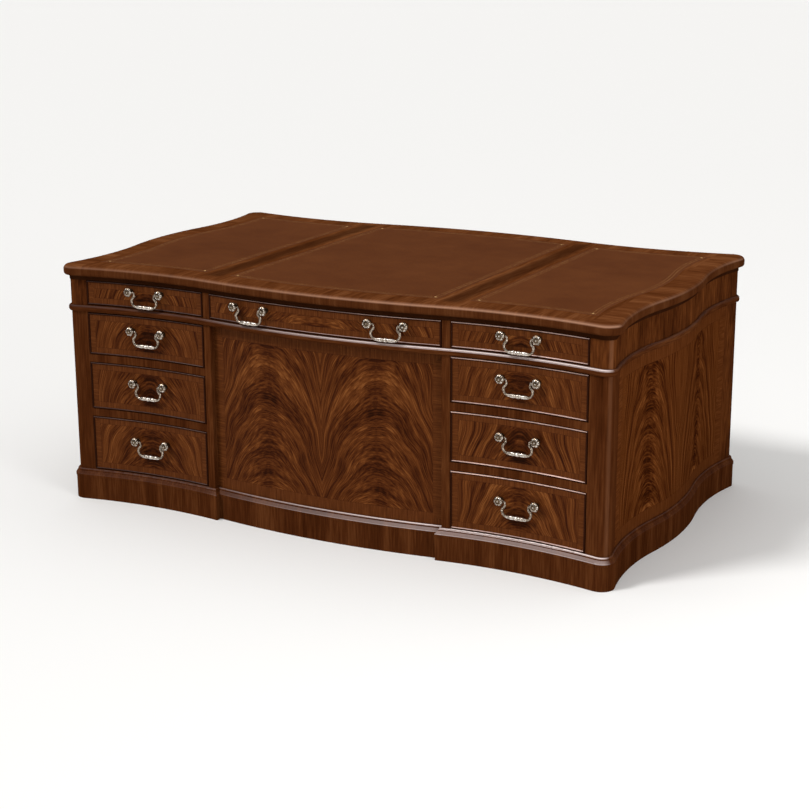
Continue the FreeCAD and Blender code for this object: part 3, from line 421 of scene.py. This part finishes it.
BEAD, DRAWER_BAND, KNEE_BAND, END_BAND, BACK_BAND = 0.005, 0.018, 0.036, 0.038, 0.02
DRAWER_ARCH, ARCH_SPARE, SEED_STEP = 0.8, 0.01, 3.7
PLINTH_TOP, WAIST_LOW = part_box("right_plinth")[1][2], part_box("waist_moulding")[0][2]
drawers = sorted(name[:-6] for name in nodes if name.endswith("_drawer_front"))
for number, drawer in enumerate(drawers):
    field = face_of(f"{drawer}_front")
    arch = ((field[0][1] - field[0][0]) / 2 + ARCH_SPARE, DRAWER_ARCH)
    veneer = flame_mahogany(f"flame_mahogany_{drawer}", "X", field, arch, DRAWER_BAND,
                            seed=number * SEED_STEP, bead=BEAD, shade=0.25)
    dress(veneer, f"{drawer}_front")
knee = [face_of("knee_panel")[0], (PLINTH_TOP, WAIST_LOW)]
veneer = flame_mahogany("flame_mahogany_knee_panel", "X", knee, (0.215, 0.56), KNEE_BAND, spine=0.19,
                        seed=31.0)
dress(veneer, "knee_panel")
for side in ("left", "right"):
    low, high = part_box(f"{side}_end_panel")
    panel = [(low[1], high[1]), (PLINTH_TOP, WAIST_LOW)]
    veneer = flame_mahogany(f"flame_mahogany_{side}_end", "Y", panel, (0.24, 1.3), END_BAND, spine=0.215,
                            seed=47.0, lacquer=MATT)
    dress(veneer, f"{side}_end_panel")
veneer = flame_mahogany("flame_mahogany_frieze_back", "X", face_of("frieze_back"), (0.46, 0.3), BACK_BAND,
                        spine=0.43, seed=83.0, lacquer=MATT)
dress(veneer, "frieze_back")
print("flame mahogany on", len(drawers), "drawer fronts, the knee panel, ends and back")

# %% [markdown]
# ## The top
# The border of the top is crossbanded too: its grain runs from the leather out to the edge, so it turns
# at the corners. The turn is made by reading the noise along the desk on the front and back, and across
# it at the ends. The finish is shaded darker along the middle of the two bands between the leathers, and
# the hollow under the nose is painted dark as shade. The faces of the nose that turn away from above are
# painted darker as shade, and a painted highlight runs along the front of it, stronger towards the right.

# %% Top border
BORDER = [(0.0, "#48230d"), (0.5, "#5f3419"), (1.0, "#764829")]
# How strong the painted highlight on the nose is, by how far its surface turns up.
NOSE_HIGHLIGHT_BY_TILT = [(0.3, "#000000"), (0.58, "#b4b4b4"), (0.78, "#6c6c6c"), (0.97, "#000000")]
# Along the desk, the painted highlight on the nose grows from part strength 0.8 m left of the middle to
# full 0.4 m right of it.
NOSE_HIGHLIGHT_GROWS = {1: -0.8, 2: 0.4, 3: 0.4, 4: 1.1}
# In metres: how far the grain turns inside the side leather's end, how far past its front the dark bands
# run and over what length they fade, and how high the bed moulding under the nose is.
TURN_INSET, BAND_PAST, BAND_FADE, BED_HEIGHT = 0.0107, 0.0069, 0.03, 0.014
BAND_CORE, BAND_EDGE, BAND_DARK = 0.012, 0.04, 0.55
# How high the painted shade under the nose reaches and how dark it is, and how dark the painted shade is on
# the faces that turn away from above.
UNDER_NOSE_SHADE_HEIGHT, UNDER_NOSE_SHADE, NOSE_SIDE_SHADE = 0.004, 0.85, 0.5
centre_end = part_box("leather_centre")[1]
right_start, right_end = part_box("leather_right")
BAND_MIDDLE = (centre_end[0] + right_start[0]) / 2
TURN_AT, BAND_END = right_end[0] - TURN_INSET, right_end[1] + BAND_PAST
NOSE_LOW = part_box("desk_top")[0][2] + BED_HEIGHT
top = empty(bpy.data.materials.new("mahogany_crossbanded_top"))
on_top = (add(top, "TexCoord"), "Object")
top_place = add(top, "SeparateXYZ", {0: on_top})
along = add(top, "Math", {0: (top_place, "X")}, operation="ABSOLUTE")
deep = add(top, "Math", {0: (top_place, "Y")}, operation="ABSOLUTE")
at_end = add(top, "Math", {0: along, 1: TURN_AT}, operation="GREATER_THAN")
outwards_y = add(top, "Mapping", {"Vector": on_top, "Scale": (1, 0.08, 0.08)})
outwards_x = add(top, "Mapping", {"Vector": on_top, "Scale": (0.08, 1, 0.08)})
top_grain = add(top, "Mix", {0: at_end, 4: outwards_y, 5: outwards_x}, data_type="VECTOR")
top_streaks = add(top, "TexNoise", {"Vector": (top_grain, 1), "Scale": STREAKS_PER_M, "Detail": 4})
top_boards = add(top, "TexNoise", {"Vector": (top_grain, 1), "Scale": BOARDS_PER_M, "Detail": 2})
top_both = add(top, "Math", {0: top_streaks, 1: top_boards}, operation="ADD")
top_depth = add(top, "MapRange", {0: top_both, 1: DEEP, 2: PALE})
border = add(top, "ValToRGB", {0: top_depth}, ramp=BORDER)
off_middle = add(top, "Math", {0: along, 1: BAND_MIDDLE}, operation="SUBTRACT")
off_middle = add(top, "Math", {0: off_middle}, operation="ABSOLUTE")
shading = add(top, "MapRange", {0: off_middle, 1: BAND_CORE, 2: BAND_EDGE, 3: BAND_DARK, 4: 0.0},
              interpolation_type="SMOOTHSTEP")
inside = add(top, "MapRange", {0: deep, 1: BAND_END, 2: BAND_END + BAND_FADE, 3: 1.0, 4: 0.0})
shading = add(top, "Math", {0: shading, 1: inside}, operation="MULTIPLY")
shaded = add(top, "Mix", {0: shading, 6: border, 7: colour("#251006")}, data_type="RGBA")
# Painted shade in the hollow under the nose.
under_nose_shade = add(top, "MapRange",
          {0: (top_place, "Z"), 1: NOSE_LOW, 2: NOSE_LOW + UNDER_NOSE_SHADE_HEIGHT, 3: UNDER_NOSE_SHADE, 4: 0.0})
shaded_under_nose = add(top, "Mix", {0: under_nose_shade, 6: (shaded, 2), 7: colour("#180b05")}, data_type="RGBA")
turned_up = add(top, "SeparateXYZ", {0: (add(top, "NewGeometry"), "Normal")})
# Painted highlight along the front of the nose, stronger towards the right.
nose_highlight = add(top, "ValToRGB", {0: (turned_up, "Z")}, ramp=NOSE_HIGHLIGHT_BY_TILT)
front_highlight = add(top, "MapRange", {0: (turned_up, "Y"), 1: 0.0, 2: -0.4, 3: 0.15, 4: 1.0})
right = add(top, "MapRange", {0: (top_place, "X"), **NOSE_HIGHLIGHT_GROWS})
nose_highlight = add(top, "Math", {0: nose_highlight, 1: front_highlight}, operation="MULTIPLY")
nose_highlight = add(top, "Math", {0: nose_highlight, 1: right}, operation="MULTIPLY")
# Painted shade on the faces of the top that turn away from above.
edge = add(top, "MapRange", {0: (turned_up, "Z"), 1: 0.9, 2: 0.35, 3: 0.0, 4: NOSE_SIDE_SHADE})
edged = add(top, "Mix", {0: edge, 6: (shaded_under_nose, 2), 7: colour("#321709")}, data_type="RGBA")
highlight_rightward = add(top, "Mix", {0: nose_highlight, 6: (edged, 2), 7: colour("#cf9f82")}, data_type="RGBA")
top_sheen = add(top, "MapRange", {0: top_streaks, 3: 0.24, 4: 0.36})
top_shader = add(top, "BsdfPrincipled", {**MATT, "Base Color": (highlight_rightward, 2), "Roughness": top_sheen})
add(top, "OutputMaterial", {"Surface": top_shader})
dress(top, "desk_top")
print("crossbanded border on the top")

# %% [markdown]
# ## Tooled leather
# Each writing leather is a hide let into the top, flush with the wood, with a double line of gold leaf
# pressed into it along the edge by a hot wheel. The lines follow the edge, so each skin is a copy of its
# CAD solid whose upper face is inset to the first line, across it, to the second and across that. On the
# way to the first line it stops once, where the rounded corners have shrunk to a point and can be merged.

# %% Tool the leathers
HIDE, GILT = 0, 1
WELD = 1e-5
FIRST_INSET, CORNER_MERGE = 0.0046, 0.0012
# How far each inset goes in, and what then covers the face inside it.
TOOLING = [(0.0074, GILT), (0.001, HIDE), (0.009, GILT), (0.0008, HIDE)]
skins = {}
for name in ("leather_left", "leather_centre", "leather_right"):
    skin = bpy.data.objects.new(f"tooled_{name}", nodes[name].data.copy())
    bpy.context.collection.objects.link(skin)
    bpy.ops.object.select_all(action="DESELECT")
    skin.select_set(True)
    bpy.context.view_layer.objects.active = skin
    skin.data.materials.clear()
    for slot in (HIDE, GILT):
        skin.data.materials.append(None)
    bpy.ops.object.mode_set(mode="EDIT")
    bpy.ops.mesh.select_mode(type="FACE")
    bpy.ops.mesh.select_all(action="SELECT")
    bpy.ops.mesh.remove_doubles(threshold=WELD)
    bpy.ops.mesh.select_all(action="DESELECT")
    bpy.ops.object.mode_set(mode="OBJECT")
    for face in skin.data.polygons:
        face.select = face.normal.z > 0.9
    bpy.ops.object.mode_set(mode="EDIT")
    bpy.ops.mesh.dissolve_faces()
    bpy.ops.mesh.inset(thickness=FIRST_INSET, depth=0)
    bpy.ops.mesh.remove_doubles(threshold=CORNER_MERGE)
    for width, slot in TOOLING:
        bpy.ops.mesh.inset(thickness=width, depth=0)
        skin.active_material_index = slot
        bpy.ops.object.material_slot_assign()
    bpy.ops.object.mode_set(mode="OBJECT")
    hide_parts(name)
    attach(skin, "carcass")
    skins[name] = skin
    print(skin.name, len(skin.data.polygons), "faces")

# %% [markdown]
# ## Hide and gold leaf
# The hide is dyed brown and waxed. Its grain is a net of cells about 1.5 mm across, and the dye lies in
# clouds of about 140 mm. A small dot is stamped in gold at each corner, just outside the inner line. Dots
# lie at the same places in all four quarters of the top, so a distance in mirrored coordinates draws
# them all.

# %% Hide and gold leaf
STAMP, STAMP_OUTSET = 0.0036, 0.003
CLOUDS_PER_M, CELLS_PER_M, RUBS_PER_M = 7, 1 / 0.0015, 1 / 0.02
hide = empty(bpy.data.materials.new("brown_hide"))
on_hide = (add(hide, "TexCoord"), "Object")
mirrored = add(hide, "VectorMath", {0: on_hide}, operation="ABSOLUTE")
nearest = 1.0
for name, ways in (("leather_centre", [1]), ("leather_right", [-1, 1])):
    inner = max(skins[name].data.polygons, key=lambda face: face.area)
    points = [skins[name].data.vertices[i].co for i in inner.vertices]
    for way in ways:
        corner = max(points, key=lambda point: way * point.x + point.y)
        stamp = corner + STAMP_OUTSET * Vector((way, 1, 0))
        apart = add(hide, "VectorMath", {0: mirrored, 1: stamp}, operation="DISTANCE")
        nearest = add(hide, "Math", {0: (apart, "Value"), 1: nearest}, operation="MINIMUM")
stamped = add(hide, "Math", {0: nearest, 1: STAMP}, operation="LESS_THAN")
clouds = add(hide, "TexNoise", {"Vector": on_hide, "Scale": CLOUDS_PER_M, "Detail": 5, "Roughness": 0.6})
cells = add(hide, "TexVoronoi", {"Vector": on_hide, "Scale": CELLS_PER_M}, feature="DISTANCE_TO_EDGE")
net = add(hide, "MapRange", {0: cells, 1: 0.0, 2: 0.25})
dyed = add(hide, "ValToRGB", {0: clouds}, ramp=[(0.3, "#5d3114"), (0.7, "#70401f")])
grain_and_highlight = add(hide, "Mix", {0: net, 6: colour("#4f2812"), 7: dyed}, data_type="RGBA")
dotted = add(hide, "Mix", {0: stamped, 6: (grain_and_highlight, 2), 7: colour("#c9a36e")}, data_type="RGBA")
dents = add(hide, "Bump", {"Height": net, "Strength": 0.12, "Distance": 0.0003})
waxing = add(hide, "MapRange", {0: clouds, 3: 0.48, 4: 0.6})
leather = add(hide, "BsdfPrincipled", {**SATIN, "Base Color": (dotted, 2), "Roughness": waxing,
                                       "Normal": dents})
add(hide, "OutputMaterial", {"Surface": leather})
gilt = empty(bpy.data.materials.new("gold_leaf"))
on_gilt = (add(gilt, "TexCoord"), "Object")
rubs = add(gilt, "TexNoise", {"Vector": on_gilt, "Scale": RUBS_PER_M, "Detail": 3})
leaf_tone = add(gilt, "ValToRGB", {0: rubs}, ramp=[(0.35, "#7d4f2a"), (0.65, "#b98a57")])
leaf_sheen = add(gilt, "MapRange", {0: rubs, 3: 0.4, 4: 0.6})
leaf_shader = add(gilt, "BsdfPrincipled", {**SATIN, "Base Color": leaf_tone, "Roughness": leaf_sheen})
add(gilt, "OutputMaterial", {"Surface": leaf_shader})
for skin in skins.values():
    skin.data.materials[HIDE] = hide
    skin.data.materials[GILT] = gilt
print("hide and gold leaf on", len(skins), "skins")

# %% [markdown]
# ## Brass
# The castings are brass that has dulled: high places such as the flowers and the grips are rubbed pale,
# the arms of the bails are duller, and the posts behind the flowers have browned. A noise of a few
# millimetres mottles them all, and the paler it is, the smoother.

# %% Brass
MOTTLES_PER_M = 1 / 0.004
castings = {}
for name, tones in (("rubbed_brass", ("#5a4c40", "#d0c3b4", "#fffcf8")),
                    ("dulled_brass", ("#44382e", "#938474", "#dccfbf")),
                    ("browned_brass", ("#2c2117", "#5a4a39", "#8d7b66"))):
    brass = empty(bpy.data.materials.new(name))
    on_brass = (add(brass, "TexCoord"), "Object")
    mottle = add(brass, "TexNoise",
                 {"Vector": on_brass, "Scale": MOTTLES_PER_M, "Detail": 4, "Roughness": 0.65})
    metal = add(brass, "ValToRGB", {0: mottle}, ramp=list(zip((0.34, 0.5, 0.64), tones)))
    polish = add(brass, "MapRange", {0: mottle, 1: 0.3, 2: 0.7, 3: 0.42, 4: 0.22})
    cast = add(brass, "BsdfPrincipled", {"Base Color": metal, "Metallic": 1.0, "Roughness": polish})
    add(brass, "OutputMaterial", {"Surface": cast})
    castings[name] = brass
dress(castings["browned_brass"], *(name for name in nodes if name.endswith("_pull_posts")))
print("brass:", ", ".join(castings))

# %% [markdown]
# ## Cast flowers
# Each post ends in a cast flower of six petals round a boss, and CAD has its plain outline. It could be
# sculpted whole, but petals that are all alike come truer from one. So a petal starts as a ball, is
# pinched at its root, creased along its middle and spun round the post.

# %% Flower
def pick(piece, test):
    """Selects the vertices of a piece that pass a test, and leaves it in edit mode."""
    bpy.ops.object.mode_set(mode="EDIT")
    bpy.ops.mesh.select_mode(type="VERT")
    bpy.ops.mesh.select_all(action="DESELECT")
    bpy.ops.object.mode_set(mode="OBJECT")
    for vertex in piece.data.vertices:
        vertex.select = test(vertex.co)
    bpy.ops.object.mode_set(mode="EDIT")


PETAL, PETAL_PLACE, PETAL_TILT = (0.0068, 0.0058, 0.0034), (0.0082, 0, 0.0071), math.radians(20)
ROOT_END, ROOT_PINCH = -0.002, (1, 0.6, 0.8)
CREASE_ABOVE, CREASE_HALF, CREASE_DEPTH = 0.0016, 0.0009, 0.0012
PETALS, BOSS_RADIUS, BOSS_PLACE, BOSS_SQUASH = 6, 0.0044, (0, 0, 0.0086), (1, 1, 0.58)
bpy.ops.object.select_all(action="DESELECT")
bpy.ops.mesh.primitive_uv_sphere_add(segments=12, ring_count=8, radius=1)
flower = bpy.context.object
flower.name = "cast_flower"
flower.scale = PETAL
bpy.ops.object.transform_apply(scale=True)
pick(flower, lambda point: point.x < ROOT_END)
bpy.ops.transform.resize(value=ROOT_PINCH, center_override=(0, 0, 0))
pick(flower, lambda point: point.z > CREASE_ABOVE and abs(point.y) < CREASE_HALF)
bpy.ops.transform.translate(value=(0, 0, -CREASE_DEPTH))
bpy.ops.object.mode_set(mode="OBJECT")
flower.rotation_euler = (0, PETAL_TILT, 0)
flower.location = PETAL_PLACE
bpy.ops.object.transform_apply(location=True, rotation=True)
bpy.ops.object.mode_set(mode="EDIT")
bpy.ops.mesh.select_all(action="SELECT")
bpy.ops.mesh.spin(steps=PETALS - 1, angle=math.tau * (PETALS - 1) / PETALS, center=(0, 0, 0),
                  axis=(0, 0, 1), dupli=True)
bpy.ops.mesh.primitive_uv_sphere_add(segments=12, ring_count=6, radius=BOSS_RADIUS, location=BOSS_PLACE)
bpy.ops.transform.resize(value=BOSS_SQUASH, center_override=BOSS_PLACE)
bpy.ops.mesh.select_all(action="SELECT")
bpy.ops.mesh.remove_doubles(threshold=WELD)
bpy.ops.mesh.normals_make_consistent(inside=False)
bpy.ops.object.mode_set(mode="OBJECT")
bpy.ops.object.shade_smooth()
flower.data.materials.append(castings["rubbed_brass"])
print(flower.name, len(flower.data.polygons), "faces")

# %% [markdown]
# ## The leaf grip
# The grip of each bail swells into a knop between two leaves. It could be spun from its outline, but the
# leaves are fluted and a spun one is round. So it starts as a rod that is cut into rings. Each ring is
# drawn to its size, and then every other column is drawn in to flute the leaves. It hangs below the axis
# that the bail turns on.

# %% Grip
DROP, ROD, ROD_LENGTH, SIDES = 0.045, 0.0044, 0.07, 16
LEAF_FROM, LEAF_TO, FLUTE, ON_RING = 0.008, 0.034, 0.8, 1e-4
# How far each ring lies from the middle of the grip, and its radius.
RINGS = [(0.0, 0.0074), (0.0042, 0.0066), (0.007, 0.0052), (0.0095, 0.0062), (0.015, 0.0074),
         (0.022, 0.0066), (0.029, 0.005)]
bpy.ops.object.select_all(action="DESELECT")
bpy.ops.mesh.primitive_cylinder_add(vertices=SIDES, radius=ROD, depth=ROD_LENGTH,
                                    rotation=(0, math.pi / 2, 0))
grip = bpy.context.object
grip.name = "leaf_grip"
bpy.ops.object.transform_apply(rotation=True)
bpy.ops.object.mode_set(mode="EDIT")
for place in sorted({way * place for place, radius in RINGS for way in (-1, 1)}):
    bpy.ops.mesh.select_all(action="SELECT")
    bpy.ops.mesh.bisect(plane_co=(place, 0, 0), plane_no=(1, 0, 0))
for place, radius in RINGS:
    pick(grip, lambda point: abs(abs(point.x) - place) < ON_RING)
    bpy.ops.transform.resize(value=(1, radius / ROD, radius / ROD), center_override=(0, 0, 0))
pick(grip, lambda point: LEAF_FROM < abs(point.x) < LEAF_TO
     and round(math.atan2(point.z, point.y) / math.tau * SIDES) % 2)
bpy.ops.transform.resize(value=(1, FLUTE, FLUTE), center_override=(0, 0, 0))
bpy.ops.object.mode_set(mode="OBJECT")
smooth = grip.modifiers.new("round_leaves", "SUBSURF")
smooth.levels = 1
bpy.ops.object.modifier_apply(modifier=smooth.name)
bpy.ops.object.shade_smooth()
grip.data.materials.append(castings["rubbed_brass"])
grip.location = (0, -DROP, 0)
bpy.ops.object.transform_apply(location=True)
print(grip.name, len(grip.data.polygons), "faces")

# %% [markdown]
# ## The bail
# The arms of a cast bail are thicker than the pins that turn in the posts. One bail is copied from CAD into
# the pull's own frame, which has X along the axis, Y up and Z out. Its arms are thickened by a little over
# a millimetre and drawn in towards the grip by a taper, and the leaf grip is joined to it. CAD's ten bails
# are all alike, so one model serves.

# %% Bail
def seat(joint):
    """Where a pull sits: X along its axis, Y up, Z out, from the middle of the axis."""
    across = -Vector(joint["axis"])
    out = Vector((across.y, -across.x, 0))
    turn = Matrix((across, Vector((0, 0, 1)), out)).transposed().to_4x4()
    return Matrix.Translation(joint["pos_m"]) @ turn


ARM_FROM, GRIP_END, ARM_SWELL, DRAWN_IN = 0.01, 0.031, 0.0013, 0.17
bails = [joint for joint in frame["joints"] if joint["child"].endswith("_bail")]
bail = bpy.data.objects.new("cast_bail", nodes[bails[0]["child"]].data.copy())
bpy.context.collection.objects.link(bail)
bail.matrix_world = seat(bails[0]).inverted()
bpy.ops.object.select_all(action="DESELECT")
bail.select_set(True)
bpy.context.view_layer.objects.active = bail
bpy.ops.object.transform_apply(location=True, rotation=True)
bpy.ops.object.mode_set(mode="EDIT")
bpy.ops.mesh.select_all(action="SELECT")
bpy.ops.mesh.remove_doubles(threshold=WELD)
bpy.ops.mesh.normals_make_consistent(inside=False)
pick(bail, lambda point: point.y < -ARM_FROM and abs(point.x) > GRIP_END)
bpy.ops.transform.shrink_fatten(value=ARM_SWELL)
bpy.ops.object.mode_set(mode="OBJECT")
taper = bail.modifiers.new("draw_in_the_bends", "SIMPLE_DEFORM")
taper.deform_method = "TAPER"
taper.deform_axis = "Y"
taper.lock_z = True
taper.factor = DRAWN_IN
bpy.ops.object.modifier_apply(modifier=taper.name)
bpy.ops.object.shade_smooth()
bail.data.materials.clear()
bail.data.materials.append(castings["dulled_brass"])
grip.select_set(True)
bpy.ops.object.join()
print(bail.name, len(bail.data.polygons), "faces")

# %% [markdown]
# ## Fit the castings
# A bail turns on an axis through its two posts, so the joint says where everything goes: a flower on each
# post, fixed to the drawer, and the bail between them, which swings. Each copy gets its own mesh, is moved
# there and has the move applied.

# %% Fit the castings
# Half the 115 mm between the two posts of a pull.
HALF_SPAN = 0.0575
for joint in bails:
    fittings = [
        (flower, "left_flower", (-HALF_SPAN, 0, 0), joint["parent"]),
        (flower, "right_flower", (HALF_SPAN, 0, 0), joint["parent"]),
        (bail, "casting", (0, 0, 0), joint["child"]),
    ]
    for model, kind, place, body in fittings:
        piece = bpy.data.objects.new(f"{joint['child']}_{kind}", model.data.copy())
        bpy.context.collection.objects.link(piece)
        piece.matrix_world = seat(joint) @ Matrix.Translation(place)
        bpy.ops.object.select_all(action="DESELECT")
        piece.select_set(True)
        bpy.context.view_layer.objects.active = piece
        bpy.ops.object.transform_apply(location=True, rotation=True, scale=True)
        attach(piece, body)
    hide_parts(joint["child"])
for model in (flower, bail):
    bpy.data.objects.remove(model)
print(3 * len(bails), "castings on", len(bails), "bails")

# %% [markdown]
# ## Drawer linings
# The inside of a drawer is plain pale wood with straight grain along the sides, planed and left bare. Its
# fibres show as streaks of about 8 mm, so a stretched noise is enough for it too.

# %% Drawer linings
FIBRES_PER_M = 1 / 0.008
lining = empty(bpy.data.materials.new("pale_lining_wood"))
on_lining = (add(lining, "TexCoord"), "Object")
along_box = add(lining, "Mapping", {"Vector": on_lining, "Scale": (0.9, 0.07, 0.9)})
fibres = add(lining, "TexNoise", {"Vector": along_box, "Scale": FIBRES_PER_M, "Detail": 5})
pale = add(lining, "ValToRGB", {0: fibres}, ramp=[(0.3, "#8a6138"), (0.7, "#b98d5c")])
bare = add(lining, "MapRange", {0: fibres, 3: 0.55, 4: 0.7})
planed = add(lining, "BsdfPrincipled", {**SATIN, "Base Color": pale, "Roughness": bare})
add(lining, "OutputMaterial", {"Surface": planed})
dress(lining, *(name for name in nodes if name.endswith(("_box", "inner_boards"))))
print("linings on the drawer boxes and inner boards")
